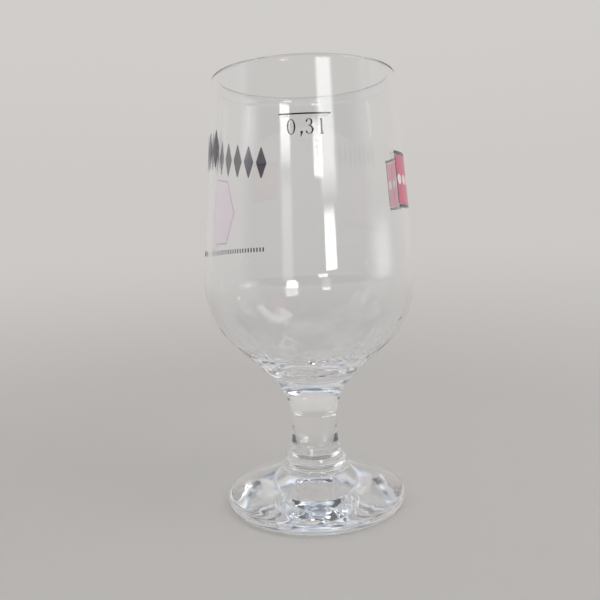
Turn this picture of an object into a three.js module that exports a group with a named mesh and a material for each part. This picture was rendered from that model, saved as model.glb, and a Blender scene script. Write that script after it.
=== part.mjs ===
// A stemmed beer glass for 0.3 litres: a bowl, a stem and a foot, fused on flat faces, with fired enamel prints.
// Millimetres, +Z up. The origin lies on the table under the middle of the foot, and the fill mark faces -Y.
import * as THREE from "three";

// Foot: a disc with a round edge, a sloping top and a collar under the stem. It rests on a broad flat ring
// round a small hollow, which runs out into the ring with a round edge.
const FOOT_RADIUS = 34;
const EDGE_ROUND = 2.2;
const CROWN_HEIGHT = 12.8;
const CROWN_FILLET = 3;
const COLLAR_HEIGHT = 4.1;
const COLLAR_LEDGE = 0.4;
const COLLAR_ROUND = 1;
const REST_RING_WIDTH = 17.2;
const RECESS_DEPTH = 3.5;
const RECESS_ROUND = 4;

// Stem: a waist that flares down to the collar and up into the bowl's underside.
const WAIST_RISE = 12.8;
const WAIST_RADIUS = 8.5;
const STEM_FLARE = 1.9;
const JOINT_TURN_DEG = 25.4;

// Bowl: a straight tapered wall on a round belly, with a flatter arc for the floor inside.
// The belly stands this far above the waist, and the rim this far above the belly, at 157.7 mm in all.
const BELLY_RISE = 54.8;
const WALL_RISE = 73.2;
const RIM_RADIUS = 33;
const BELLY_RADIUS = 39;
const BELLY_CURVE = 32.5;
const UNDERSIDE_SLOPE_DEG = 43.3;
const FLOOR_TURN_DEG = 44;
const WALL = 2.15;

// Enamel: how thick it is, how far it stands off the facets of the glass, and how wide one facet of it is.
const ENAMEL_THICKNESS = 0.12;
const ENAMEL_CLEARANCE = 0.15;
const ENAMEL_COLUMN = 3.6;
const ENAMEL_ROW = 6;

// Prints: a drop is measured down from the rim to the print's middle, and an azimuth round from the fill mark,
// with the right-hand side as positive.
const FILL_LINE = { azimuth: 0.3, drop: 18.7, width: 16.4, height: 0.5 };
const FRIEZE = { azimuth: -103, drop: 26.2, width: 59, height: 12.4 };
const LOZENGE_COUNT = 9;
const LOZENGE_WIDTH = 5.4;
const LOZENGE_TIP = 0.5;
const MEDALLION = { azimuth: -104.6, drop: 46.6, width: 23.4, height: 25 };
const MEDALLION_END = 12;
const GROUND_LINE = { azimuth: -112, drop: 62, width: 49, height: 1.8 };
const RED_PANEL = { azimuth: 84, drop: 38.5, width: 33.6, height: 16.4 };
const BORDER_HEIGHT = 1;
const BORDER_GAP = 0.25;

// Facets of the turned pieces: how many there are round the axis, and how far a chord may stray from its arc.
const SEGMENTS = 48;
const CHORD_SAG = 0.05;

const radians = THREE.MathUtils.degToRad;

// Points along an arc in the profile plane, where x is the radius and y the height, without its first point.
function arc(centre, radius, from, to) {
  const widestStep = 2 * Math.acos(1 - CHORD_SAG / radius);
  const steps = Math.ceil(Math.abs(to - from) / widestStep);
  const points = [];
  for (let i = 1; i <= steps; i += 1) {
    points.push(around(centre, radius, from + ((to - from) * i) / steps));
  }
  return points;
}

function around(centre, radius, angle) {
  return new THREE.Vector2(Math.cos(angle), Math.sin(angle)).multiplyScalar(radius).add(centre);
}

const point = (radius, height) => new THREE.Vector2(radius, height);

// The heights, stacked from the table up.
const collarTop = CROWN_HEIGHT + COLLAR_HEIGHT;
const waistHeight = collarTop + WAIST_RISE;
const bellyHeight = waistHeight + BELLY_RISE;
const rimHeight = bellyHeight + WALL_RISE;

// The circles of the belly and of the rounded lip.
const bellyCentre = point(BELLY_RADIUS - BELLY_CURVE, bellyHeight);
const lipRound = WALL / 2;
const lipCentre = point(RIM_RADIUS - lipRound, rimHeight - lipRound);

// The wall is the common tangent of belly and lip, so one angle is square to its outer and its inner face.
const bellyToLip = lipCentre.clone().sub(bellyCentre);
const wallAngle = bellyToLip.angle() - Math.acos((BELLY_CURVE - lipRound) / bellyToLip.length());

// The bowl's underside leaves the belly at its slope. The hollow shoulder touches it and is upright at the waist.
const undersideAngle = radians(UNDERSIDE_SLOPE_DEG) - Math.PI / 2;
const undersideDrop = -Math.sin(undersideAngle) * BELLY_RISE - BELLY_CURVE;
const undersideReach = Math.cos(undersideAngle) * (WAIST_RADIUS - bellyCentre.x);
const shoulderCurve = (undersideDrop + undersideReach) / (1 - Math.cos(undersideAngle));
const shoulderCentre = point(WAIST_RADIUS + shoulderCurve, waistHeight);

// Bowl and stem are fused part of the way up the shoulder.
const jointAngle = Math.PI - radians(JOINT_TURN_DEG);
const jointRim = around(shoulderCentre, shoulderCurve, jointAngle);

// The outside of the bowl at a height on its wall or belly.
function outerRadius(height) {
  const wallFoot = around(bellyCentre, BELLY_CURVE, wallAngle);
  if (height > wallFoot.y) {
    return wallFoot.x - (height - wallFoot.y) * Math.tan(wallAngle);
  }
  return bellyCentre.x + Math.sqrt(BELLY_CURVE ** 2 - (height - bellyCentre.y) ** 2);
}

function bowlProfile() {
  const innerCurve = BELLY_CURVE - WALL;
  const floorTurn = -radians(FLOOR_TURN_DEG);
  const floorCentre = point(0, bellyCentre.y - bellyCentre.x * Math.tan(floorTurn));
  const floorCurve = innerCurve + bellyCentre.x / Math.cos(floorTurn);
  return [
    point(0, jointRim.y),
    jointRim,
    ...arc(shoulderCentre, shoulderCurve, jointAngle, undersideAngle + Math.PI),
    around(bellyCentre, BELLY_CURVE, undersideAngle),
    ...arc(bellyCentre, BELLY_CURVE, undersideAngle, wallAngle),
    around(lipCentre, lipRound, wallAngle),
    ...arc(lipCentre, lipRound, wallAngle, wallAngle + Math.PI),
    around(bellyCentre, innerCurve, wallAngle),
    ...arc(bellyCentre, innerCurve, wallAngle, floorTurn),
    ...arc(floorCentre, floorCurve, floorTurn, -Math.PI / 2),
  ];
}

// The stem stands on the collar with a flat face, and its flare is upright at the waist.
const stemFootRadius = WAIST_RADIUS + STEM_FLARE;

function stemProfile() {
  const flareCurve = (WAIST_RISE ** 2 + STEM_FLARE ** 2) / (2 * STEM_FLARE);
  const flareCentre = point(WAIST_RADIUS + flareCurve, waistHeight);
  const flareTurn = Math.asin(WAIST_RISE / flareCurve);
  return [
    point(0, collarTop),
    point(stemFootRadius, collarTop),
    ...arc(flareCentre, flareCurve, Math.PI + flareTurn, Math.PI),
    ...arc(shoulderCentre, shoulderCurve, Math.PI, jointAngle),
    point(0, jointRim.y),
  ];
}

// The foot's top runs straight from its round edge to the collar, with a hollow fillet in the corner.
function footProfile() {
  const collarRadius = stemFootRadius + COLLAR_LEDGE + COLLAR_ROUND;
  const recessRadius = FOOT_RADIUS - EDGE_ROUND - REST_RING_WIDTH;
  const recessCurve = (recessRadius ** 2 + RECESS_DEPTH ** 2) / (2 * RECESS_DEPTH) - RECESS_ROUND;
  const recessCentre = point(0, RECESS_DEPTH - recessCurve);
  const recessTurn = Math.asin(recessRadius / (recessCurve + RECESS_ROUND));
  const recessEdge = point(recessRadius, RECESS_ROUND);

  const edgeCentre = point(FOOT_RADIUS - EDGE_ROUND, EDGE_ROUND);
  const edgeToCrown = point(collarRadius, CROWN_HEIGHT).sub(edgeCentre);
  const topAngle = edgeToCrown.angle() - Math.acos(EDGE_ROUND / edgeToCrown.length());

  const filletRadius = collarRadius + CROWN_FILLET;
  const reach = EDGE_ROUND + CROWN_FILLET - (filletRadius - edgeCentre.x) * Math.cos(topAngle);
  const filletCentre = point(filletRadius, edgeCentre.y + reach / Math.sin(topAngle));
  const roundCentre = point(collarRadius - COLLAR_ROUND, collarTop - COLLAR_ROUND);
  return [
    point(0, RECESS_DEPTH),
    ...arc(recessCentre, recessCurve, Math.PI / 2, Math.PI / 2 - recessTurn),
    ...arc(recessEdge, RECESS_ROUND, -Math.PI / 2 - recessTurn, -Math.PI / 2),
    point(edgeCentre.x, 0),
    ...arc(edgeCentre, EDGE_ROUND, -Math.PI / 2, topAngle),
    around(filletCentre, CROWN_FILLET, topAngle - Math.PI),
    ...arc(filletCentre, CROWN_FILLET, topAngle - Math.PI, -Math.PI),
    point(collarRadius, roundCentre.y),
    ...arc(roundCentre, COLLAR_ROUND, 0, Math.PI / 2),
    point(0, collarTop),
  ];
}

// A turned piece: the lathe turns about +Y, so the result is laid over to stand along +Z.
function turned(profile) {
  return new THREE.LatheGeometry(profile, SEGMENTS).rotateX(Math.PI / 2);
}

// A flat sheet of enamel wrapped on the bowl: x runs round the wall, y up it and z out of it.
// The sheet narrows evenly from its middle to endWidth at its top and bottom.
function enamelSheet({ azimuth, drop, width, height }, endWidth = width) {
  const columns = Math.ceil(width / ENAMEL_COLUMN);
  const rows = 2 * Math.ceil(height / (2 * ENAMEL_ROW));
  const sheet = new THREE.BoxGeometry(1, 2, ENAMEL_THICKNESS, columns, rows, 1);
  const corners = sheet.attributes.position;
  const middleRadius = outerRadius(rimHeight - drop);
  const standOff = ENAMEL_CLEARANCE + ENAMEL_THICKNESS / 2;
  for (let i = 0; i < corners.count; i += 1) {
    const share = corners.getY(i);
    const across = THREE.MathUtils.lerp(width, endWidth, Math.abs(share)) * corners.getX(i);
    const z = rimHeight - drop + (share * height) / 2;
    const angle = radians(azimuth) + across / middleRadius;
    const radius = outerRadius(z) + standOff + corners.getZ(i);
    corners.setXYZ(i, radius * Math.sin(angle), -radius * Math.cos(angle), z);
  }
  sheet.computeVertexNormals();
  return sheet;
}

const glassFinish = () =>
  new THREE.MeshStandardMaterial({
    color: 0xdde5e8,
    roughness: 0.04,
    metalness: 0,
    transparent: true,
    opacity: 0.35,
  });
const enamelFinish = (color) => new THREE.MeshStandardMaterial({ color, roughness: 0.35, metalness: 0 });

const INK = 0x3a3b42;
const SLATE = 0x464650;
const BLUSH = 0xd0c4ce;
const ROSE = 0xc8577a;

const glass = new THREE.Group();

function addPiece(name, geometry, material) {
  const piece = new THREE.Mesh(geometry, material);
  piece.name = name;
  glass.add(piece);
}

addPiece("foot", turned(footProfile()), glassFinish());
addPiece("stem", turned(stemProfile()), glassFinish());
addPiece("bowl", turned(bowlProfile()), glassFinish());
addPiece("fill_line", enamelSheet(FILL_LINE), enamelFinish(INK));

// The lozenges stand in a row, evenly spread over the frieze, with the outer ones at its ends.
const friezeRadius = outerRadius(rimHeight - FRIEZE.drop);
const lozengeStep = (FRIEZE.width - LOZENGE_WIDTH) / (LOZENGE_COUNT - 1) / friezeRadius;
for (let i = 0; i < LOZENGE_COUNT; i += 1) {
  const turn = THREE.MathUtils.radToDeg((i - (LOZENGE_COUNT - 1) / 2) * lozengeStep);
  const lozenge = { ...FRIEZE, azimuth: FRIEZE.azimuth + turn, width: LOZENGE_WIDTH };
  addPiece(`frieze_lozenge_${i + 1}`, enamelSheet(lozenge, LOZENGE_TIP), enamelFinish(SLATE));
}

addPiece("medallion", enamelSheet(MEDALLION, MEDALLION_END), enamelFinish(BLUSH));
addPiece("ground_line", enamelSheet(GROUND_LINE), enamelFinish(SLATE));
addPiece("red_panel", enamelSheet(RED_PANEL), enamelFinish(ROSE));

// The two dark strips run along the red panel, just clear of it.
const borderShift = RED_PANEL.height / 2 + BORDER_GAP + BORDER_HEIGHT / 2;
const border = (shift) => ({ ...RED_PANEL, drop: RED_PANEL.drop + shift, height: BORDER_HEIGHT });
addPiece("panel_border_upper", enamelSheet(border(-borderShift)), enamelFinish(SLATE));
addPiece("panel_border_lower", enamelSheet(border(borderShift)), enamelFinish(SLATE));

export default glass;
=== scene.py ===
# %% [markdown]
# # A stemmed beer glass
#
# This lesson dresses the CAD model of a stemmed beer glass: a bowl, a stem and a foot of clear glass, fused
# hot, and the enamel prints that are fired on the bowl. The CAD solids are faceted and plain, so each piece
# is made again here, smooth and fine, in the same place. Lengths are in metres, and `mm` makes one out of
# millimetres.

# %% Load the CAD frame
import math

import bmesh
import bpy
from mathutils import Matrix, Vector


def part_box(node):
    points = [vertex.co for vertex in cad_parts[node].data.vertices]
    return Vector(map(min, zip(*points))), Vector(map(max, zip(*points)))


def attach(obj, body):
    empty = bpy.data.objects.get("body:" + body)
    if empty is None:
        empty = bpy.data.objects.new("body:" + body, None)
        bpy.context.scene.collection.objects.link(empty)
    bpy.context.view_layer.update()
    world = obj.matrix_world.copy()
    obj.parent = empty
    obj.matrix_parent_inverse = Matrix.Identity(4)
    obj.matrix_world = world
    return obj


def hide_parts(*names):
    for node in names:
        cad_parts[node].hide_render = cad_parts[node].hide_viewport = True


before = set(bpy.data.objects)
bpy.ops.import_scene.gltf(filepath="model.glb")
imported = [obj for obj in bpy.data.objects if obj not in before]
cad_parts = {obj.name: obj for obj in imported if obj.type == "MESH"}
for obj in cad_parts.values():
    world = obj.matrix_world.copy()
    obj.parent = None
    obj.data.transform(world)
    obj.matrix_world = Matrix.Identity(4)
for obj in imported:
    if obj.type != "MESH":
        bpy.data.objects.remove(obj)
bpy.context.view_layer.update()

scene = bpy.context.scene
mm = 0.001

# %% [markdown]
# ## A short way to write node trees
#
# Materials and Geometry Nodes are both trees of nodes. `add_node` adds a node, sets it up and fills its
# inputs: an input takes a plain value, or the output of another node, which is then linked to it.
# `calculate` is the same for one step of arithmetic. More short names for common nodes follow where they
# are first needed.


# %% Nodes and their links
def add_node(tree, kind, inputs=None, **settings):
    node = tree.nodes.new(kind)
    for name, value in settings.items():
        setattr(node, name, value)
    for name, value in (inputs or {}).items():
        if isinstance(value, bpy.types.NodeSocket):
            tree.links.new(value, node.inputs[name])
        else:
            node.inputs[name].default_value = value
    return node


def calculate(tree, operation, *terms):
    inputs = dict(enumerate(terms))
    return add_node(tree, "ShaderNodeMath", inputs, operation=operation).outputs[0]


# %% [markdown]
# ## The profile of the glass
#
# A stemmed glass is round, so one outline in the plane of its axis says all about its shape. The outline is
# made of arcs and straight stretches that run into each other without a corner: lip, tapered wall, belly,
# sloping underside, hollow shoulder, waist and flare. The heights of the joints and the widest radii come
# from the CAD frame, and the arcs between them from the same few sizes as in the CAD model.

# %% Sizes of the bowl and the stem
foot_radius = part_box("foot")[1].x
collar_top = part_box("foot")[1].z
joint_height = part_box("stem")[1].z
belly_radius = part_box("bowl")[1].x
rim_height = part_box("bowl")[1].z

waist_radius = 8.5 * mm
waist_rise = 12.8 * mm
stem_flare = 1.9 * mm
belly_rise = 54.8 * mm
belly_curve = 32.5 * mm
underside_slope = math.radians(43.3)
rim_radius = 33 * mm
wall = 2.15 * mm
floor_angle = math.radians(-44)

waist_height = collar_top + waist_rise
belly_height = waist_height + belly_rise
stem_foot_radius = waist_radius + stem_flare
heights = {"collar": collar_top, "joint": joint_height, "rim": rim_height}
print("heights in mm:", {name: round(height / mm, 2) for name, height in heights.items()})

# %% Points along arcs and lines
profile_step = 0.9 * mm
fewest_arc_steps = 10
hair = 0.001 * mm


def around(centre, radius, angle):
    return Vector((centre[0] + radius * math.cos(angle), centre[1] + radius * math.sin(angle)))


def arc(centre, radius, start, end):
    steps = max(fewest_arc_steps, math.ceil(abs(end - start) * radius / profile_step))
    return [around(centre, radius, start + (end - start) * i / steps) for i in range(steps + 1)]


def straight(start, end):
    """The points between two ends of a straight stretch, without the ends."""
    steps = math.ceil((end - start).length / profile_step)
    return [start.lerp(end, i / steps) for i in range(1, steps)]


def run(*arcs):
    """One outline out of several arcs, with straight stretches of even steps between them."""
    outline = []
    for points in arcs:
        if outline and (points[0] - outline[-1]).length < hair:
            points = points[1:]
        elif outline:
            outline += straight(outline[-1], points[0])
        outline += points
    return outline


# %% Circles of the bowl
belly_centre = (belly_radius - belly_curve, belly_height)
lip_round = wall / 2
lip_centre = (rim_radius - lip_round, rim_height - lip_round)
belly_to_lip = Vector(lip_centre) - Vector(belly_centre)
rise_to_lip = math.atan2(belly_to_lip.y, belly_to_lip.x)
wall_angle = rise_to_lip - math.acos((belly_curve - lip_round) / belly_to_lip.length)

underside_angle = underside_slope - math.pi / 2
underside_drop = -math.sin(underside_angle) * belly_rise - belly_curve
underside_reach = math.cos(underside_angle) * (waist_radius - belly_centre[0])
shoulder_curve = (underside_drop + underside_reach) / (1 - math.cos(underside_angle))
shoulder_centre = (waist_radius + shoulder_curve, waist_height)
joint_angle = math.pi - math.asin((joint_height - waist_height) / shoulder_curve)
joint_rim = around(shoulder_centre, shoulder_curve, joint_angle)
print("wall leans by degrees:", round(math.degrees(wall_angle), 2))
print("shoulder and joint radius in mm:", round(shoulder_curve / mm, 2), round(joint_rim.x / mm, 2))

# %% [markdown]
# ## Outlines of the three pieces
#
# Each outline starts and ends on the axis, so the turned piece is closed. A mould shapes the outside of the
# glass, but the floor inside the bowl, the foot's sloping top and its underside were left to the hot glass,
# and are never quite even. So each point of an outline also holds a share of unevenness, from 0 to 1.

# %% The bowl's outline
even_above = 80 * mm
uneven_below = 62 * mm


def fade(value, start, end):
    """0 up to the start, 1 from the end on, and a smooth rise between them."""
    share = min(1, max(0, (value - start) / (end - start)))
    return share * share * (3 - 2 * share)


def bowl_outline():
    inner_curve = belly_curve - wall
    floor_centre = (0, belly_centre[1] - belly_centre[0] * math.tan(floor_angle))
    floor_curve = inner_curve + belly_centre[0] / math.cos(floor_angle)
    outside = [Vector((0, joint_height))] + run(
        arc(shoulder_centre, shoulder_curve, joint_angle, underside_angle + math.pi),
        arc(belly_centre, belly_curve, underside_angle, wall_angle),
        arc(lip_centre, lip_round, wall_angle, wall_angle + math.pi),
    )
    inside = run(
        arc(belly_centre, inner_curve, wall_angle, floor_angle),
        arc(floor_centre, floor_curve, floor_angle, -math.pi / 2),
    )
    inner_wall = straight(outside[-1], inside[0])
    uneven = [0] * len(outside + inner_wall) + [fade(p.y, even_above, uneven_below) for p in inside]
    return outside + inner_wall + inside, uneven


# %% The stem's outline
def stem_outline():
    flare_curve = (waist_rise**2 + stem_flare**2) / (2 * stem_flare)
    flare_centre = (waist_radius + flare_curve, waist_height)
    flare_turn = math.asin(waist_rise / flare_curve)
    side = run(
        arc(flare_centre, flare_curve, math.pi + flare_turn, math.pi),
        arc(shoulder_centre, shoulder_curve, math.pi, joint_angle),
    )
    outline = [Vector((0, collar_top)), *side, Vector((0, joint_height))]
    return outline, [0] * len(outline)


# %% Sizes of the foot
crown_height = 12.8 * mm
crown_fillet = 3 * mm
edge_round = 2.2 * mm
collar_ledge = 0.4 * mm
collar_round = 1 * mm
rest_ring_width = 17.2 * mm
recess_depth = 3.5 * mm
recess_round = 4 * mm

collar_radius = stem_foot_radius + collar_ledge + collar_round
edge_centre = (foot_radius - edge_round, edge_round)
recess_radius = edge_centre[0] - rest_ring_width
print("collar and hollow radius in mm:", round(collar_radius / mm, 2), round(recess_radius / mm, 2))


# %% The foot's underside and top
def foot_underside():
    recess_curve = (recess_radius**2 + recess_depth**2) / (2 * recess_depth) - recess_round
    recess_turn = math.asin(recess_radius / (recess_curve + recess_round))
    return run(
        arc((0, recess_depth - recess_curve), recess_curve, math.pi / 2, math.pi / 2 - recess_turn),
        arc((recess_radius, recess_round), recess_round, -math.pi / 2 - recess_turn, -math.pi / 2),
    )


def foot_top():
    to_crown = Vector((collar_radius, crown_height)) - Vector(edge_centre)
    top_angle = math.atan2(to_crown.y, to_crown.x) - math.acos(edge_round / to_crown.length)
    fillet_radius = collar_radius + crown_fillet
    reach = edge_round + crown_fillet - (fillet_radius - edge_centre[0]) * math.cos(top_angle)
    fillet_centre = (fillet_radius, edge_centre[1] + reach / math.sin(top_angle))
    round_centre = (collar_radius - collar_round, collar_top - collar_round)
    return run(
        arc(edge_centre, edge_round, -math.pi / 2, top_angle),
        arc(fillet_centre, crown_fillet, top_angle - math.pi, -math.pi),
        arc(round_centre, collar_round, 0, math.pi / 2),
    )


# %% The foot's outline
recess_fade = 6 * mm
ring_unevenness = 0.35
ring_fade = 4 * mm
top_unevenness = 0.6
top_fade = 5 * mm
crown_fade = (12 * mm, 18 * mm)


def foot_outline():
    below, above = foot_underside(), foot_top()
    rest_ring = straight(below[-1], above[0])
    edge = edge_centre[0]
    uneven = [fade(p.x, recess_radius, recess_radius - recess_fade) for p in below]
    uneven += [ring_unevenness * fade(p.x, edge, edge - ring_fade) for p in rest_ring]
    uneven += [top_unevenness * fade(p.x, edge, edge - top_fade) * fade(p.x, *crown_fade) for p in above]
    joint = [Vector((stem_foot_radius, collar_top)), Vector((0, collar_top))]
    return below + rest_ring + above + joint, uneven + [0] * len(joint)


outlines = {"bowl": bowl_outline(), "stem": stem_outline(), "foot": foot_outline()}
for name, (outline, uneven) in outlines.items():
    print(name, "outline:", len(outline), "points,", sum(u > 0 for u in uneven), "of them uneven")

# %% [markdown]
# ## Clear glass
#
# Soda-lime glass has no colour of its own, and shows by what it bends and mirrors. A Principled shader with
# full transmission and the index 1.52 does that. Two things keep it from looking like a computed solid: the
# surface of pressed glass is never quite even, so a slow noise bends its normals a little, and handling
# leaves a faint bloom, so the roughness rises slightly in cloudy patches. Both read Object coordinates, so
# they stay on the glass.


# %% Helpers for finishes
def new_material(name):
    material = bpy.data.materials.new(name)
    material.use_nodes = True
    return material, material.node_tree, material.node_tree.nodes["Principled BSDF"]


def noise(tree, place, **inputs):
    return add_node(tree, "ShaderNodeTexNoise", {"Vector": place, **inputs}).outputs["Fac"]


def graded(tree, value, span, results=(0.0, 1.0), way="SMOOTHSTEP"):
    """The value taken from one span to another, by a smooth step or, with LINEAR, in proportion."""
    inputs = {"Value": value, "From Min": span[0], "From Max": span[1]}
    inputs |= {"To Min": results[0], "To Max": results[1]}
    return add_node(tree, "ShaderNodeMapRange", inputs, interpolation_type=way).outputs["Result"]


def bumped(tree, height, distance):
    return add_node(tree, "ShaderNodeBump", {"Height": height, "Distance": distance}).outputs["Normal"]


# %% The glass material
glass_tint = (0.985, 0.988, 0.992, 1)
glass_index = 1.52


def clear_glass(name, wave_scale, wave_height):
    material, tree, shader = new_material(name)
    place = add_node(tree, "ShaderNodeTexCoord").outputs["Object"]
    wave = noise(tree, place, Scale=wave_scale, Detail=1.0)
    bloom = noise(tree, place, Scale=38.0, Detail=5.0, Roughness=0.62)
    tree.links.new(bumped(tree, wave, wave_height), shader.inputs["Normal"])
    tree.links.new(graded(tree, bloom, (0.56, 0.78), (0.0, 0.05), "LINEAR"), shader.inputs["Roughness"])
    shader.inputs["Base Color"].default_value = glass_tint
    shader.inputs["Transmission Weight"].default_value = 1
    shader.inputs["IOR"].default_value = glass_index
    return material


bowl_glass = clear_glass("clear_glass_bowl", wave_scale=60.0, wave_height=0.03 * mm)
foot_glass = clear_glass("clear_glass_foot", wave_scale=140.0, wave_height=0.05 * mm)
print("glass finishes:", bowl_glass.name, foot_glass.name)

# %% [markdown]
# ## The fused faces
#
# Bowl, stem and foot were joined while soft, so there is no surface left where they meet. The pieces are
# still three closed meshes, and each has a flat face at its joint. As glass, that face would bend the light
# and mirror it inside the solid stem. An Alpha of 0 lets light run straight through, as it does in the
# fused glass.


# %% The finish of the fused faces
def fused_face():
    material, _, shader = new_material("fused_face")
    shader.inputs["Alpha"].default_value = 0
    return material


fused = fused_face()
print("joint finish:", fused.name)

# %% [markdown]
# ## Turning an outline
#
# A glass is turned or blown into a round mould, and the rule for its shape is short: each point of the
# outline goes once round the axis. The Screw modifier or bmesh's spin could do it. A Geometry Nodes tree
# does it here, because the same tree then serves all three pieces: a grid has one row for each point of the
# outline and one column for each step round, and each of its points looks up its row in the outline and
# takes its angle from its column. Angles count from the front, with the right-hand side as positive.
# `new_tree` starts a tree with named inputs, so that each size has a name.


# %% A tree and what it reads
def new_tree(name, inputs):
    tree = bpy.data.node_groups.new(name, "GeometryNodeTree")
    for label, kind in inputs.items():
        tree.interface.new_socket(label, in_out="INPUT", socket_type="NodeSocket" + kind)
    tree.interface.new_socket("Mesh", in_out="OUTPUT", socket_type="NodeSocketGeometry")
    return tree, tree.nodes.new("NodeGroupInput").outputs


def position(tree):
    return add_node(tree, "GeometryNodeInputPosition").outputs["Position"]


def normal(tree):
    return add_node(tree, "GeometryNodeInputNormal").outputs["Normal"]


def attribute(tree, name):
    inputs = {"Name": name}
    return add_node(tree, "GeometryNodeInputNamedAttribute", inputs, data_type="FLOAT").outputs["Attribute"]


def vector_of(tree, x, y, z=0.0):
    return add_node(tree, "ShaderNodeCombineXYZ", {"X": x, "Y": y, "Z": z}).outputs["Vector"]


def numbers_of(tree, vector):
    return add_node(tree, "ShaderNodeSeparateXYZ", {"Vector": vector}).outputs


# %% What a tree makes
def stored(tree, mesh, name, value, kind, domain):
    inputs = {"Geometry": mesh, "Name": name, "Value": value}
    node = add_node(tree, "GeometryNodeStoreNamedAttribute", inputs, data_type=kind, domain=domain)
    return node.outputs["Geometry"]


def placed(tree, mesh, place):
    inputs = {"Geometry": mesh, "Position": place}
    return add_node(tree, "GeometryNodeSetPosition", inputs).outputs["Geometry"]


def finished(tree, mesh, material):
    """The mesh shaded smooth, with its material set."""
    smooth = add_node(tree, "GeometryNodeSetShadeSmooth", {"Geometry": mesh}).outputs["Geometry"]
    inputs = {"Geometry": smooth, "Material": material}
    return add_node(tree, "GeometryNodeSetMaterial", inputs).outputs["Geometry"]


# %% A grid wound round the axis
def on_circle(tree, radius, angle, height):
    aside = calculate(tree, "MULTIPLY", radius, calculate(tree, "SINE", angle))
    ahead = calculate(tree, "MULTIPLY", radius, calculate(tree, "COSINE", angle))
    return vector_of(tree, aside, calculate(tree, "MULTIPLY", ahead, -1.0), height)


def wound_grid(tree, given):
    outline = add_node(tree, "GeometryNodeObjectInfo", {"Object": given["Outline"]}).outputs["Geometry"]
    rows = add_node(tree, "GeometryNodeAttributeDomainSize", {"Geometry": outline}).outputs["Point Count"]
    columns = calculate(tree, "ADD", given["Steps round"], 1.0)
    inputs = {"Vertices X": rows, "Vertices Y": columns}
    mesh = add_node(tree, "GeometryNodeMeshGrid", inputs).outputs["Mesh"]
    index = add_node(tree, "GeometryNodeInputIndex").outputs["Index"]
    row = calculate(tree, "FLOOR", calculate(tree, "DIVIDE", index, columns))
    turn = calculate(tree, "DIVIDE", calculate(tree, "MODULO", index, columns), given["Steps round"])

    def looked_up(kind, value):
        inputs = {"Geometry": outline, "Value": value, "Index": row}
        return add_node(tree, "GeometryNodeSampleIndex", inputs, data_type=kind).outputs["Value"]

    for name in ("fused", "uneven"):
        mesh = stored(tree, mesh, name, looked_up("FLOAT", attribute(tree, name)), "FLOAT", "POINT")
    point = numbers_of(tree, looked_up("FLOAT_VECTOR", position(tree)))
    turned = on_circle(tree, point["X"], calculate(tree, "MULTIPLY", turn, math.tau), point["Z"])
    return placed(tree, mesh, turned)


# %% Waves where the hot glass was left to itself
def with_waves(tree, given, mesh):
    swell = noise(tree, position(tree), Scale=given["Wave scale"], Detail=3.0)
    height = calculate(tree, "MULTIPLY", given["Wave height"], attribute(tree, "uneven"))
    lift = calculate(tree, "MULTIPLY", calculate(tree, "SUBTRACT", swell, 0.5), height)
    inputs = {0: normal(tree), "Scale": lift}
    offset = add_node(tree, "ShaderNodeVectorMath", inputs, operation="SCALE").outputs["Vector"]
    inputs = {"Geometry": mesh, "Offset": offset}
    return add_node(tree, "GeometryNodeSetPosition", inputs).outputs["Geometry"]


# %% The lathe as a Geometry Nodes tree
def lathe_tree():
    sizes = {"Steps round": "Int"} | dict.fromkeys(("Merge distance", "Wave scale", "Wave height"), "Float")
    finishes = dict.fromkeys(("Glass", "Fused face"), "Material")
    tree, given = new_tree("lathe", {"Outline": "Object", **sizes, **finishes})
    inputs = {"Geometry": wound_grid(tree, given), "Distance": given["Merge distance"]}
    closed = add_node(tree, "GeometryNodeMergeByDistance", inputs).outputs["Geometry"]
    outward = add_node(tree, "GeometryNodeFlipFaces", {"Mesh": closed}).outputs["Mesh"]
    glass = finished(tree, with_waves(tree, given, outward), given["Glass"])
    inputs = {"Geometry": glass, "Material": given["Fused face"]}
    inputs["Selection"] = calculate(tree, "GREATER_THAN", attribute(tree, "fused"), 0.9)
    both = add_node(tree, "GeometryNodeSetMaterial", inputs)
    add_node(tree, "NodeGroupOutput", {"Mesh": both.outputs["Geometry"]})
    return tree


lathe = lathe_tree()
print("lathe tree:", len(lathe.nodes), "nodes")

# %% From a tree to a plain mesh
sharp_angle = math.radians(32)
ml = 1e-6


def linked_object(name, data):
    made = bpy.data.objects.new(name, data)
    scene.collection.objects.link(made)
    return made


def volume(mesh):
    """The volume in cubic metres, above 0 where the faces point outwards."""
    solid = bmesh.new()
    solid.from_mesh(mesh)
    inside = solid.calc_volume(signed=True)
    solid.free()
    return inside


def grown(name, tree, values):
    """A new object whose mesh is what the tree makes of these values."""
    piece = linked_object(name, bpy.data.meshes.new(name))
    modifier = piece.modifiers.new(tree.name, "NODES")
    modifier.node_group = tree
    sockets = {s.name: s.identifier for s in tree.interface.items_tree if s.in_out == "INPUT"}
    for label, value in values.items():
        modifier[sockets[label]] = value
    depsgraph = bpy.context.evaluated_depsgraph_get()
    mesh = bpy.data.meshes.new_from_object(
        piece.evaluated_get(depsgraph), preserve_all_data_layers=True, depsgraph=depsgraph
    )
    piece.modifiers.clear()
    piece.data = mesh
    mesh.name = name
    for slot in reversed(range(len(mesh.materials))):
        if mesh.materials[slot] is None:
            mesh.materials.pop(index=slot)
    mesh.set_sharp_from_angle(angle=sharp_angle)
    print(name, len(mesh.polygons), "faces, volume in ml", round(volume(mesh) / ml, 5))
    return piece


# %% Outlines as objects
stem_foot = Vector((stem_foot_radius, collar_top))
joints = {"bowl": [joint_rim], "stem": [joint_rim, stem_foot], "foot": [stem_foot]}


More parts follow.
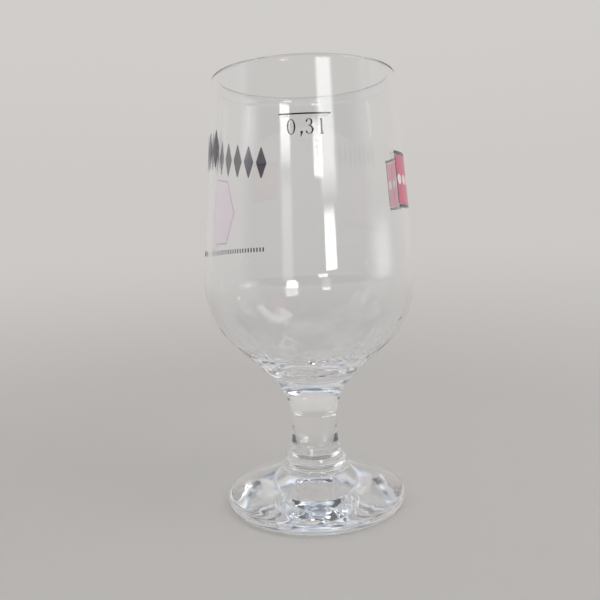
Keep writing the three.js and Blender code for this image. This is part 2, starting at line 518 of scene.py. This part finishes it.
def outline_object(name, outline, uneven):
    mesh = bpy.data.meshes.new(name + "_outline")
    edges = [(i, i + 1) for i in range(len(outline) - 1)]
    mesh.from_pydata([(p.x, 0, p.y) for p in outline], edges, [])
    on_joint = [any(abs(p.y - j.y) < hair and p.x < j.x + hair for j in joints[name]) for p in outline]
    for label, values in (("fused", on_joint), ("uneven", uneven)):
        mesh.attributes.new(label, "FLOAT", "POINT").data.foreach_set("value", [float(v) for v in values])
    return linked_object(name + "_outline", mesh)


# %% The three pieces of glass
steps_round = 240
wave_scales = {"bowl": 110.0, "stem": 110.0, "foot": 190.0}
wave_heights = {"bowl": 0.85 * mm, "stem": 0.0, "foot": 0.22 * mm}


def turned_piece(name):
    line = outline_object(name, *outlines[name])
    values = {"Outline": line, "Steps round": steps_round, "Merge distance": hair, "Fused face": fused}
    values |= {"Wave scale": wave_scales[name], "Wave height": wave_heights[name]}
    values["Glass"] = foot_glass if name == "foot" else bowl_glass
    piece = grown(name + "_glass", lathe, values)
    bpy.data.objects.remove(line)
    return piece


bowl, stem, foot = (turned_piece(name) for name in ("bowl", "stem", "foot"))

# %% [markdown]
# ## Enamel prints
#
# The prints are glass enamel, pressed through a screen and fired on, so each is a thin even film that has
# melted into the wall. A film could be a texture on the bowl. Thin solids of their own are better here:
# they can be repainted one by one, and they show their back through the glass, as fired prints do. Each
# stands a little off the outer face of the wall, so that no two faces share a place.

# %% The wall that the prints lie on
wall_foot = around(belly_centre, belly_curve, wall_angle)
wall_slope = math.tan(wall_angle)
film_gap = 0.02 * mm
film_thickness = 0.06 * mm


def wall_radius(height):
    return wall_foot.x - (height - wall_foot.y) * wall_slope


print("wall radius at the rim in mm:", round(wall_radius(rim_height) / mm, 2))

# %% [markdown]
# Three small trees share the work. `tapered_plate` makes one flat plate, which may narrow towards its ends,
# and keeps a chart of it as a UV map for the finishes. `wrap_on_wall` bends flat work onto the cone of the
# wall: what was across becomes an angle, and what was up becomes a height. `enamel_print` sets plates out
# in a row.


# %% One plate
def charted_plate(tree, given):
    """A plate that is 1 across and 2 up, with its UV map and a mark on the faces at its back."""
    size = vector_of(tree, 1.0, 2.0, given["Thickness"])
    inputs = {"Size": size, "Vertices X": given["Columns"], "Vertices Y": given["Rows"], "Vertices Z": 2}
    block = add_node(tree, "GeometryNodeMeshCube", inputs).outputs["Mesh"]
    charted = stored(tree, block, "UVMap", position(tree), "FLOAT2", "CORNER")
    behind = calculate(tree, "LESS_THAN", numbers_of(tree, normal(tree))["Z"], -0.5)
    return stored(tree, charted, "back", behind, "FLOAT", "FACE")


def plate_tree():
    sizes = dict.fromkeys(("Columns", "Rows"), "Int")
    sizes |= dict.fromkeys(("Width", "Height", "End width", "Thickness"), "Float")
    tree, given = new_tree("tapered_plate", sizes)
    share = numbers_of(tree, position(tree))
    to_end = calculate(tree, "ABSOLUTE", share["Y"])
    breadth = graded(tree, to_end, (0.0, 1.0), (given["Width"], given["End width"]), "LINEAR")
    across = calculate(tree, "MULTIPLY", share["X"], breadth)
    up = calculate(tree, "MULTIPLY", share["Y"], calculate(tree, "MULTIPLY", given["Height"], 0.5))
    out = calculate(tree, "ADD", share["Z"], calculate(tree, "MULTIPLY", given["Thickness"], 0.5))
    shaped = placed(tree, charted_plate(tree, given), vector_of(tree, across, up, out))
    add_node(tree, "NodeGroupOutput", {"Mesh": shaped})
    return tree, sizes


plate, plate_sizes = plate_tree()
print("plate tree:", len(plate.nodes), "nodes")


# %% Wrapping flat work on the wall
def wrap_tree():
    sizes = dict.fromkeys(("Azimuth", "Middle height", "Middle radius", "Wall slope", "Gap"), "Float")
    tree, given = new_tree("wrap_on_wall", {"Flat work": "Geometry", **sizes})
    flat = numbers_of(tree, position(tree))
    turn = calculate(tree, "DIVIDE", flat["X"], given["Middle radius"])
    angle = calculate(tree, "ADD", given["Azimuth"], turn)
    height = calculate(tree, "ADD", given["Middle height"], flat["Y"])
    lean = calculate(tree, "MULTIPLY", flat["Y"], given["Wall slope"])
    on_wall = calculate(tree, "SUBTRACT", given["Middle radius"], lean)
    out = calculate(tree, "ADD", flat["Z"], given["Gap"])
    wrapped = on_circle(tree, calculate(tree, "ADD", on_wall, out), angle, height)
    add_node(tree, "NodeGroupOutput", {"Mesh": placed(tree, given["Flat work"], wrapped)})
    return tree, sizes


wrap, wrap_sizes = wrap_tree()
print("wrap tree:", len(wrap.nodes), "nodes")


# %% A row of plates on the wall
def linked_group(tree, group, given, labels):
    node = add_node(tree, "GeometryNodeGroup", node_tree=group)
    for label in labels:
        tree.links.new(given[label], node.inputs[label])
    return node


def wrapped_finish(tree, given, flat_work):
    on_wall = linked_group(tree, wrap, given, wrap_sizes)
    tree.links.new(flat_work, on_wall.inputs["Flat work"])
    add_node(tree, "NodeGroupOutput", {"Mesh": finished(tree, on_wall.outputs["Mesh"], given["Enamel"])})


def print_tree():
    row_sizes = {"Count": "Int", "Spacing": "Float"}
    tree, given = new_tree("enamel_print", {**row_sizes, **plate_sizes, **wrap_sizes, "Enamel": "Material"})
    one = linked_group(tree, plate, given, plate_sizes).outputs["Mesh"]
    last = calculate(tree, "SUBTRACT", given["Count"], 1.0)
    half_row = calculate(tree, "MULTIPLY", calculate(tree, "MULTIPLY", last, given["Spacing"]), -0.5)
    inputs = {"Count": given["Count"], "Start Location": vector_of(tree, half_row, 0.0)}
    inputs["Offset"] = vector_of(tree, given["Spacing"], 0.0)
    row = add_node(tree, "GeometryNodeMeshLine", inputs, mode="OFFSET").outputs["Mesh"]
    inputs = {"Points": row, "Instance": one}
    plates = add_node(tree, "GeometryNodeInstanceOnPoints", inputs).outputs["Instances"]
    real = add_node(tree, "GeometryNodeRealizeInstances", {"Geometry": plates}).outputs["Geometry"]
    wrapped_finish(tree, given, real)
    return tree


enamel_print = print_tree()
print("print tree:", len(enamel_print.nodes), "nodes")

# %% [markdown]
# ## Enamel finishes
#
# Fired enamel is a coloured glass flux: half gloss, opaque, with a fine grain from the screen. Each finish
# mixes two shades by a fine noise, and lets the same noise raise the surface a little. The flux is a dense
# glass, so its index is higher than the bowl's, and a mirrored window washes over it. The faces that the
# tree has marked as the back, which show through the bowl, take a colour of their own. In the pink and red
# prints that colour is lighter than the front: painted light for the light that comes through the thin film.

# %% The plain enamel
enamel_index = 1.75
grain_height = 0.01 * mm


def mixed(tree, share, first, second):
    """The first colour where the share is 0, and the second where it is 1."""
    inputs = {"Factor": share, "A": first, "B": second}
    return add_node(tree, "ShaderNodeMix", inputs, data_type="RGBA").outputs[2]


def enamel(name, colour, shade, back, roughness):
    material, tree, shader = new_material(name)
    place = add_node(tree, "ShaderNodeTexCoord").outputs["Object"]
    grain = noise(tree, place, Scale=900.0, Detail=3.0)
    cloud = noise(tree, place, Scale=160.0, Detail=4.0)
    blend = calculate(tree, "MULTIPLY", calculate(tree, "ADD", grain, cloud), 0.5)
    amount = graded(tree, blend, (0.35, 0.65), way="LINEAR")
    behind = add_node(tree, "ShaderNodeAttribute", attribute_name="back").outputs["Fac"]
    # The back faces take the back colour, painted lighter in the pink and red prints for light through the
    # film.
    coats_with_painted_back_light = mixed(tree, behind, mixed(tree, amount, (*colour, 1), (*shade, 1)), (*back, 1))
    tree.links.new(coats_with_painted_back_light, shader.inputs["Base Color"])
    tree.links.new(bumped(tree, grain, grain_height), shader.inputs["Normal"])
    shader.inputs["Roughness"].default_value = roughness
    shader.inputs["IOR"].default_value = enamel_index
    return material


# Each finish gives its colour, second shade, back colour and roughness; the lighter backs of blush and rose
# are painted light.
ink = enamel("ink_print", (0.03, 0.031, 0.036), (0.05, 0.051, 0.06), (0.05, 0.05, 0.06), 0.16)
slate = enamel("slate_print", (0.045, 0.046, 0.062), (0.075, 0.076, 0.098), (0.05, 0.051, 0.066), 0.25)
blush = enamel("blush_print", (0.66, 0.57, 0.64), (0.58, 0.48, 0.57), (0.79, 0.69, 0.77), 0.3)
rose = enamel("rose_print", (0.62, 0.11, 0.2), (0.54, 0.09, 0.17), (0.74, 0.27, 0.36), 0.25)
print("enamel finishes:", [m.name for m in (ink, slate, blush, rose)])

# %% [markdown]
# A second colour is printed over the first in three places: a thin mauve line inside the medallion's edge,
# a row of pale dots along the red panel, and a dark line along either end of it. All of them follow the
# plate's UV map, where x runs from -0.5 to 0.5 across the plate and y from -1 to 1 up it.


# %% A second colour over the first
def overprint(material, mask, colour):
    tree = material.node_tree
    shader = tree.nodes["Principled BSDF"]
    first = shader.inputs["Base Color"].links[0].from_socket
    tree.links.new(mixed(tree, mask, first, (*colour, 1)), shader.inputs["Base Color"])
    print("overprinted:", material.name)


def chart(tree):
    return numbers_of(tree, add_node(tree, "ShaderNodeUVMap", uv_map="UVMap").outputs["UV"])


# %% The line inside the medallion's edge
medallion_width = 23.4 * mm
medallion_height = 25 * mm
medallion_end = 12 * mm
mauve = (0.24, 0.14, 0.22)


def edge_line(tree, inset, breadth):
    """1 on a line that runs at an inset inside the medallion's edge, and 0 elsewhere."""
    share = chart(tree)
    up = calculate(tree, "ABSOLUTE", share["Y"])
    local_width = graded(tree, up, (0.0, 1.0), (medallion_width, medallion_end), "LINEAR")
    aside = calculate(tree, "SUBTRACT", 0.5, calculate(tree, "ABSOLUTE", share["X"]))
    to_side = calculate(tree, "MULTIPLY", aside, local_width)
    to_end = calculate(tree, "MULTIPLY", calculate(tree, "SUBTRACT", 1.0, up), medallion_height / 2)
    gap = calculate(tree, "MINIMUM", to_side, to_end)
    off_line = calculate(tree, "ABSOLUTE", calculate(tree, "SUBTRACT", gap, inset))
    return calculate(tree, "LESS_THAN", off_line, breadth / 2)


overprint(blush, edge_line(blush.node_tree, inset=0.5 * mm, breadth=0.35 * mm), mauve)

# %% Dots and end lines of the red panel
panel_width = 33.6 * mm
panel_height = 16.4 * mm
pale_dot = (0.78, 0.72, 0.74)
dark_line = (0.05, 0.051, 0.066)


def dot_row(tree, count, radius):
    """1 inside the dots of a row along the middle of the panel, and 0 elsewhere."""
    share = chart(tree)
    along = calculate(tree, "MULTIPLY", calculate(tree, "ADD", share["X"], 0.5), count)
    from_middle = calculate(tree, "SUBTRACT", calculate(tree, "FRACT", along), 0.5)
    across = calculate(tree, "MULTIPLY", from_middle, panel_width / count)
    up = calculate(tree, "MULTIPLY", share["Y"], panel_height / 2)
    inputs = {0: vector_of(tree, across, up)}
    away = add_node(tree, "ShaderNodeVectorMath", inputs, operation="LENGTH").outputs["Value"]
    return calculate(tree, "LESS_THAN", away, radius)


def end_lines(tree, breadth):
    """1 on a line along either end of the panel, and 0 elsewhere."""
    aside = calculate(tree, "ABSOLUTE", chart(tree)["X"])
    return calculate(tree, "GREATER_THAN", aside, 0.5 - breadth / panel_width)


overprint(rose, dot_row(rose.node_tree, count=7.0, radius=1.7 * mm), pale_dot)
overprint(rose, end_lines(rose.node_tree, breadth=0.5 * mm), dark_line)

# %% [markdown]
# ## The prints on the bowl
#
# The front has the fill line of the measure. The left side has a row of dark lozenges, a pale pink
# medallion and a fine row of ticks below it, and the right side a red panel between two dark strips. A drop
# is measured from the rim down to the middle of a print, and an azimuth in degrees round from the front.

# %% Plates on the wall
column_width = 0.6 * mm
fewest_columns = 4


def wall_place(azimuth, drop):
    middle = rim_height - drop
    place = {"Azimuth": math.radians(azimuth), "Wall slope": wall_slope, "Gap": film_gap}
    return place | {"Middle height": middle, "Middle radius": wall_radius(middle)}


def printed(name, finish, azimuth, drop, width, height, end_width=None, count=1, spacing=0.0):
    values = wall_place(azimuth, drop) | {"Count": count, "Spacing": spacing, "Enamel": finish}
    values["Columns"] = max(fewest_columns, math.ceil(width / column_width))
    values["Rows"] = 2 * max(1, math.ceil(height / (2 * column_width))) + 1
    values |= {"Width": width, "Height": height, "Thickness": film_thickness}
    values["End width"] = width if end_width is None else end_width
    return grown(name, enamel_print, values)


def spaced(length, width, count):
    """The width, count and spacing of plates that fill a row of this length."""
    return {"width": width, "count": count, "spacing": (length - width) / (count - 1)}


# %% Fill line, lozenges, medallion and ticks
lozenge_count = 9
lozenges = spaced(length=59 * mm, width=5.4 * mm, count=lozenge_count)
lozenges |= {"height": 12.4 * mm, "end_width": 0.5 * mm}
ticks = spaced(length=49 * mm, width=0.8 * mm, count=31)
medallion_size = {"width": medallion_width, "height": medallion_height, "end_width": medallion_end}

fill_line = printed("fill_line_print", ink, azimuth=0.3, drop=18.7 * mm, width=16.4 * mm, height=0.5 * mm)
frieze = printed("lozenge_frieze", slate, azimuth=-103, drop=26.2 * mm, **lozenges)
medallion = printed("pink_medallion", blush, azimuth=-104.6, drop=46.6 * mm, **medallion_size)
tick_row = printed("tick_row", slate, azimuth=-112, drop=62 * mm, height=1.8 * mm, **ticks)

# %% Red panel and its strips
border_height = 1 * mm
border_gap = 0.25 * mm
border_shift = panel_height / 2 + border_gap + border_height / 2
panel_azimuth = 84
panel_drop = 38.5 * mm
red_panel = printed("red_panel_print", rose, panel_azimuth, panel_drop, panel_width, panel_height)
border_upper, border_lower = (
    printed(f"red_panel_{side}_border", slate, panel_azimuth, panel_drop + shift, panel_width, border_height)
    for side, shift in (("upper", -border_shift), ("lower", border_shift))
)

# %% [markdown]
# ## The capacity figures
#
# Under the fill line stands the measure, 0,3 l, in plain roman figures with thick and thin strokes. A font
# would do, but its outline needs cleaning before it can be wrapped. So each figure is drawn as ribbons in
# mesh code: pairs of points on the two sides of a stroke, joined into a thin closed bar, and then bent onto
# the wall by the same tree. The drawings are in millimetres.


# %% Strokes as closed bars
def bar(solid, left, right, thickness, closed=False):
    rings = []
    for a, b in zip(left, right):
        corners = ((a, 0), (b, 0), (b, thickness), (a, thickness))
        rings.append([solid.verts.new((p[0] * mm, p[1] * mm, z)) for p, z in corners])
    pairs = list(zip(rings, rings[1:]))
    if closed:
        pairs.append((rings[-1], rings[0]))
    else:
        solid.faces.new(rings[0])
        solid.faces.new(rings[-1][::-1])
    for one, two in pairs:
        for i in range(len(one)):
            j = (i + 1) % len(one)
            solid.faces.new((one[i], one[j], two[j], two[i]))


# %% Strokes of a broad pen
def smooth_path(points, steps=8):
    """A smooth curve through the points, where each is a place across and up and a width."""
    points = [Vector(p) for p in points]
    ends = [2 * points[0] - points[1], *points, 2 * points[-1] - points[-2]]
    path = []
    for p0, p1, p2, p3 in zip(ends, ends[1:], ends[2:], ends[3:]):
        for i in range(steps):
            t = i / steps
            bend = (2 * p0 - 5 * p1 + 4 * p2 - p3) * t * t + (3 * (p1 - p2) + p3 - p0) * t**3
            path.append(p1 + 0.5 * ((p2 - p0) * t + bend))
    return [*path, points[-1]]


def pen_stroke(solid, points, thickness):
    path = smooth_path(points)
    left, right = [], []
    for before, here, after in zip([path[0], *path], path, [*path[1:], path[-1]]):
        along = (after - before).xy.normalized()
        side = Vector((-along.y, along.x)) * here.z / 2
        left.append(here.xy + side)
        right.append(here.xy - side)
    bar(solid, left, right, thickness)


# %% The nought and the l
nought_centre = -4.15
nought_inside = (0.84, 2.22)
nought_outside = (1.36, 2.4)
nought_steps = 48

el_start = 4.7
el_left = ((0, -2.4), (0, -2.24), (0.36, -2.16), (0.42, -2), (0.42, 1.9), (0.36, 2.02), (0, 2.1), (0.4, 2.4))
el_right = ((1.34, -2.4), (1.34, -2.24), (0.98, -2.16), *((0.92, y) for y in (-2, 1.9, 2.02, 2.1, 2.4)))


def draw_nought(solid, thickness):
    turns = [math.tau * i / nought_steps for i in range(nought_steps)]
    inner, outer = (
        [(nought_centre + half_width * math.cos(t), half_height * math.sin(t)) for t in turns]
        for half_width, half_height in (nought_inside, nought_outside)
    )
    bar(solid, inner, outer, thickness, closed=True)


def draw_el(solid, thickness):
    left, right = ([(el_start + x, y) for x, y in side] for side in (el_left, el_right))
    bar(solid, left, right, thickness)


# %% The comma and the three
comma = (
    (-0.98, -1.36, 0.3), (-0.92, -1.6, 0.8), (-0.9, -1.9, 0.76),
    (-0.92, -2.25, 0.5), (-1.1, -2.75, 0.28), (-1.4, -3.2, 0.08),
)
three_upper = (
    (0.68, 1.38, 0.55), (0.74, 1.8, 0.42), (1.1, 2.2, 0.2), (1.62, 2.28, 0.2), (2.14, 1.96, 0.44),
    (2.32, 1.36, 0.54), (2.1, 0.7, 0.4), (1.6, 0.3, 0.2), (1.3, 0.2, 0.14),
)
three_lower = (
    (1.3, 0.22, 0.14), (1.8, 0.12, 0.24), (2.34, -0.26, 0.48), (2.6, -1.0, 0.58), (2.34, -1.76, 0.44),
    (1.7, -2.22, 0.2), (1.12, -2.2, 0.2), (0.72, -1.84, 0.42), (0.66, -1.4, 0.56),
)
lower_film = 0.9 * film_thickness


def flat_figures():
    solid = bmesh.new()
    draw_nought(solid, film_thickness)
    draw_el(solid, film_thickness)
    for points in (comma, three_upper):
        pen_stroke(solid, points, film_thickness)
    pen_stroke(solid, three_lower, lower_film)
    bmesh.ops.recalc_face_normals(solid, faces=solid.faces)
    mesh = bpy.data.meshes.new("flat_figures")
    solid.to_mesh(mesh)
    solid.free()
    return linked_object("flat_figures", mesh)


# %% The figures on the wall
figure_drop = 22.7 * mm


def figure_tree():
    tree, given = new_tree("wrapped_figures", {"Figures": "Object", **wrap_sizes, "Enamel": "Material"})
    flat = add_node(tree, "GeometryNodeObjectInfo", {"Object": given["Figures"]}).outputs["Geometry"]
    wrapped_finish(tree, given, flat)
    return tree


flat = flat_figures()
values = wall_place(0, figure_drop) | {"Figures": flat, "Enamel": ink}
figures = grown("capacity_figures", figure_tree(), values)
bpy.data.objects.remove(flat)

# %% [markdown]
# ## Floor and surroundings
#
# Clear glass shows its surroundings more than itself, so they are kept plain. The floor is matte near the
# glass, where it takes the soft shadow, and turns into a pale tone further off, evenly as the camera sees
# it. Its matte part is darker than that tone, so the floor is darker towards the glass: painted shade. The
# world goes on with the pale tone, so there is no horizon. Where the floor is seen through glass, some of
# the pale tone is mixed in as a glow, a painted light that makes stem and foot look as light as on a bright
# table. Matte surfaces are lit by an even white world. What the glass mirrors is less plain, with soft
# bright and dim zones overhead and a dim side behind the camera, because a glass in even light would have
# no edges. Only rays that were mirrored at least once see these.

# %% The floor's finish
pale = (0.63, 0.61, 0.59, 1)
horizon = (0.6, 0.58, 0.562, 1)
# The matte tone near the glass is darker than the pale tone: painted shade round the glass.
painted_shade_near_tone = (0.43, 0.415, 0.4, 1)
# The share of pale glow seen through glass is painted light on the floor under stem and foot.
painted_light_through_glass = 0.3
matte_nearness = 2.6
plain_nearness = 0.2
camera_distance = 229 * mm


def surface_mix(tree, share, first, second):
    """A surface that is the first shader where the share is 0, and the second where it is 1."""
    both = add_node(tree, "ShaderNodeMixShader", {0: share, 1: first, 2: second})
    tree.links.new(both.outputs["Shader"], tree.nodes["Material Output"].inputs["Surface"])


def floor_finish():
    material, tree, shader = new_material("pale_floor")
    tree.nodes.remove(shader)
    place = add_node(tree, "ShaderNodeTexCoord").outputs["Object"]
    far = add_node(tree, "ShaderNodeVectorMath", {0: place}, operation="LENGTH").outputs["Value"]
    nearness = calculate(tree, "DIVIDE", 1.0, calculate(tree, "ADD", far, camera_distance))
    away = graded(tree, nearness, (matte_nearness, plain_nearness))
    # Rays through glass see the floor partly as pale glow: painted light.
    through = add_node(tree, "ShaderNodeLightPath").outputs["Is Transmission Ray"]
    plain = calculate(tree, "MAXIMUM", away, calculate(tree, "MULTIPLY", through, painted_light_through_glass))
    near_face = add_node(tree, "ShaderNodeBsdfDiffuse", {"Color": painted_shade_near_tone}).outputs["BSDF"]
    far_face = add_node(tree, "ShaderNodeEmission", {"Color": horizon, "Strength": 1.0}).outputs["Emission"]
    surface_mix(tree, plain, near_face, far_face)
    return material


# %% The floor
floor_reach = 30.0
floor_sag = -0.1 * mm


def plain_floor():
    mesh = bpy.data.meshes.new("floor")
    corners = ((-1, -1), (1, -1), (1, 1), (-1, 1))
    mesh.from_pydata([(x * floor_reach, y * floor_reach, floor_sag) for x, y in corners], [], [(0, 1, 2, 3)])
    mesh.materials.append(floor_finish())
    return linked_object("floor", mesh)


floor = plain_floor()
print("floor:", floor.name, "of metres", [round(x, 2) for x in floor.dimensions])

# %% What the glass mirrors
dim_zone = (0.2, 0.23, 0.29, 1)
bright_zone = (0.88, 0.94, 1.0, 1)
camera_side = (0.09, 0.095, 0.11, 1)
zone_stops = (0.42, 0.62)
overhead_span = (0.28, 0.45)
camera_side_span = (-0.15, -0.45)


def mirrored_room(tree, direction, axes):
    zones = noise(tree, direction, Scale=2.4, Detail=1.0, Distortion=0.6)
    ramp = add_node(tree, "ShaderNodeValToRGB", {"Fac": zones})
    for stop, place, colour in zip(ramp.color_ramp.elements, zone_stops, (dim_zone, bright_zone)):
        stop.position = place
        stop.color = colour
    zoned = mixed(tree, graded(tree, axes["Z"], overhead_span), pale, ramp.outputs["Color"])
    return mixed(tree, graded(tree, axes["Y"], camera_side_span), zoned, camera_side)


# %% The world
white = (1, 1, 1, 1)
horizon_span = (0.0, 0.3)


def studio_world():
    world = bpy.data.worlds.new("studio")
    world.use_nodes = True
    world.cycles.sampling_method = "NONE"
    tree = world.node_tree
    direction = add_node(tree, "ShaderNodeTexCoord").outputs["Generated"]
    axes = numbers_of(tree, direction)
    path = add_node(tree, "ShaderNodeLightPath").outputs
    was_mirrored = calculate(tree, "GREATER_THAN", path["Glossy Depth"], 0.5)
    was_scattered = calculate(tree, "GREATER_THAN", path["Diffuse Depth"], 0.5)
    backdrop = mixed(tree, graded(tree, axes["Z"], horizon_span), horizon, pale)
    seen = mixed(tree, was_mirrored, backdrop, mirrored_room(tree, direction, axes))
    tree.links.new(mixed(tree, was_scattered, seen, white), tree.nodes["Background"].inputs["Color"])
    return world


scene.world = studio_world()
print("world:", scene.world.name)

# %% [markdown]
# ## Lights
#
# One large lamp gives the matte surfaces a direction and the glass a soft shadow. The streaks on the bowl
# are mirrored windows. Lamps could give them, but a lamp is evenly bright, so they are cards with soft
# edges, most of which glow more at one end than at the other. They stand on a sphere about the glass. Only
# rays that were mirrored at least once see them, so no card shows through the glass as a white patch.

# %% The lamp
aim = Vector((0, 0, 100 * mm))
lamp_distance = 0.9
lamp_size = 0.5
lamp_radiance = 1.8


def towards(azimuth, elevation):
    """The direction from the glass at these angles in degrees, with azimuth 0 at the front."""
    a, e = math.radians(azimuth), math.radians(elevation)
    return Vector((math.sin(a) * math.cos(e), -math.cos(a) * math.cos(e), math.sin(e)))


def soft_lamp(name, azimuth, elevation):
    data = bpy.data.lights.new(name, "AREA")
    data.shape = "RECTANGLE"
    data.size = data.size_y = lamp_size
    data.energy = lamp_radiance * math.pi * lamp_size * lamp_size
    lamp = linked_object(name, data)
    out = towards(azimuth, elevation)
    lamp.rotation_mode = "QUATERNION"
    lamp.location = aim + out * lamp_distance
    lamp.rotation_quaternion = out.to_track_quat("Z", "Y")
    lamp.visible_camera = False
    return lamp


key = soft_lamp("key", azimuth=70, elevation=48)
print("lamp:", key.name, "of watts", round(key.data.energy, 2))

# %% The glow of a window card
card_tint = (0.97, 0.985, 1, 1)


def card_finish(name, glow_at_foot, glow_at_top, soft_sides, soft_foot, soft_top):
    """A glow between two strengths, with edges that are soft over these shares of the card."""
    material, tree, shader = new_material(name)
    tree.nodes.remove(shader)
    share = chart(tree)
    glow = graded(tree, share["Y"], (0.0, 1.0), (glow_at_foot, glow_at_top))
    aside = calculate(tree, "MINIMUM", share["X"], calculate(tree, "SUBTRACT", 1.0, share["X"]))
    below_top = calculate(tree, "SUBTRACT", 1.0, share["Y"])
    bounces = add_node(tree, "ShaderNodeLightPath").outputs["Glossy Depth"]
    soft = calculate(tree, "GREATER_THAN", bounces, 0.5)
    for gap, edge in ((aside, soft_sides), (share["Y"], soft_foot), (below_top, soft_top)):
        soft = calculate(tree, "MULTIPLY", soft, graded(tree, gap, (0.0, edge)))
    inputs = {"Color": card_tint, "Strength": calculate(tree, "MULTIPLY", glow, soft)}
    light = add_node(tree, "ShaderNodeEmission", inputs).outputs["Emission"]
    surface_mix(tree, soft, add_node(tree, "ShaderNodeBsdfTransparent").outputs["BSDF"], light)
    return material


# %% The mesh of a window card
card_distance = 1.2
card_steps = 12


def between(ends, share):
    return ends[0] + share * (ends[1] - ends[0])


def card_mesh(name, azimuths, elevations):
    marks = [i / card_steps for i in range(card_steps + 1)]
    charted = [(u, v) for u in marks for v in marks]
    directions = [towards(between(azimuths, u), between(elevations, v)) for u, v in charted]
    row = card_steps + 1
    corners = [i * row + j for i in range(card_steps) for j in range(card_steps)]
    faces = [(c, c + 1, c + row + 1, c + row) for c in corners]
    mesh = bpy.data.meshes.new(name)
    mesh.from_pydata([aim + card_distance * out for out in directions], [], faces)
    chart_layer = mesh.uv_layers.new(name="UVMap")
    for loop in mesh.loops:
        chart_layer.data[loop.index].uv = charted[loop.vertex_index]
    return mesh


# %% The window cards
# Each has its azimuths and elevations, its glow at foot and top, and its soft sides, foot and top.
cards = {
    "window_lower": ((17, 30), (5, 13), (9.0, 6.0), (0.1, 0.03, 0.3)),
    "window_upper": ((12, 38), (10, 31), (3.6, 4.4), (0.25, 0.3, 0.1)),
    "side_window": ((-30, -15), (12, 22.6), (0.5, 7.0), (0.2, 0.5, 0.06)),
    "side_window_lower": ((-25, -10), (-4, 4), (8.0, 5.0), (0.15, 0.1, 0.25)),
    "side_band": ((-32, -12), (1, 18), (1.2, 1.8), (0.35, 0.2, 0.3)),
    "right_glow": ((55, 115), (-4, 12), (1.9, 1.9), (0.45, 0.45, 0.45)),
    "left_glow": ((-115, -60), (-24, 0), (2.0, 2.0), (0.45, 0.45, 0.45)),
}
for name, (azimuths, elevations, glows, edges) in cards.items():
    card = linked_object(name, card_mesh(name, azimuths, elevations))
    card.data.materials.append(card_finish(name, *glows, *edges))
    card.visible_camera = False
    card.visible_diffuse = False
    card.visible_shadow = False
print("window cards:", len(cards))

# %% [markdown]
# ## Camera
#
# The camera stands where the photograph was taken from: lower than the rim, looking slightly down, with a
# slight roll. Its place comes from a fit of the rim, the foot and both sides of the glass, in a square
# frame.

# %% The camera
camera_height = 102.5 * mm
yaw, pitch, roll = (math.radians(angle) for angle in (-0.97, -6.36, -2.07))
camera_data = bpy.data.cameras.new("camera")
camera_data.sensor_width = 36
camera_data.lens = 36.63
camera_data.clip_start = 10 * mm
camera = linked_object("camera", camera_data)
forward = Vector((math.sin(yaw) * math.cos(pitch), math.cos(yaw) * math.cos(pitch), math.sin(pitch)))
level = Vector((math.cos(yaw), -math.sin(yaw), 0))
upright = level.cross(forward)
right = math.cos(roll) * level + math.sin(roll) * upright
up = math.cos(roll) * upright - math.sin(roll) * level
camera.matrix_world = Matrix((right, up, -forward)).transposed().to_4x4()
camera.location = (0, -camera_distance, camera_height)
scene.camera = camera
print("camera at mm:", [round(x / mm, 1) for x in camera.location])

# %% [markdown]
# ## View and bounces
#
# Colours go into the picture as they are. Light runs a long way inside glass before it comes out, so it
# gets many bounces, or the rim would turn black. The filter that blurs mirrored light after a matte bounce
# is off, because it would keep light from the prints that are seen through the bowl.

# %% Look and bounces
scene.view_settings.view_transform = "Standard"
scene.cycles.max_bounces = 64
scene.cycles.blur_glossy = 0
scene.cycles.transmission_bounces = 32
scene.cycles.glossy_bounces = 64
scene.cycles.transparent_max_bounces = 32
print("view:", scene.view_settings.view_transform, "with bounces", scene.cycles.max_bounces)

# %% [markdown]
# ## Putting the pieces in the frame
#
# Each piece stands for its CAD node, which is hidden, and rides on the one body. The figures have no CAD
# node of their own.

# %% Nodes, slots and the body
lozenge_nodes = [f"frieze_lozenge_{i + 1}" for i in range(lozenge_count)]
for piece, slot, nodes in (
    (bowl, "clear_glass", ["bowl"]),
    (stem, "clear_glass", ["stem"]),
    (foot, "clear_glass", ["foot"]),
    (fill_line, "ink_enamel", ["fill_line"]),
    (figures, "ink_enamel", []),
    (frieze, "slate_enamel", lozenge_nodes),
    (medallion, "blush_enamel", ["medallion"]),
    (tick_row, "slate_enamel", ["ground_line"]),
    (red_panel, "rose_enamel", ["red_panel"]),
    (border_upper, "slate_enamel", ["panel_border_upper"]),
    (border_lower, "slate_enamel", ["panel_border_lower"]),
):
    if nodes:
        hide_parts(*nodes)
    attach(piece, "root")
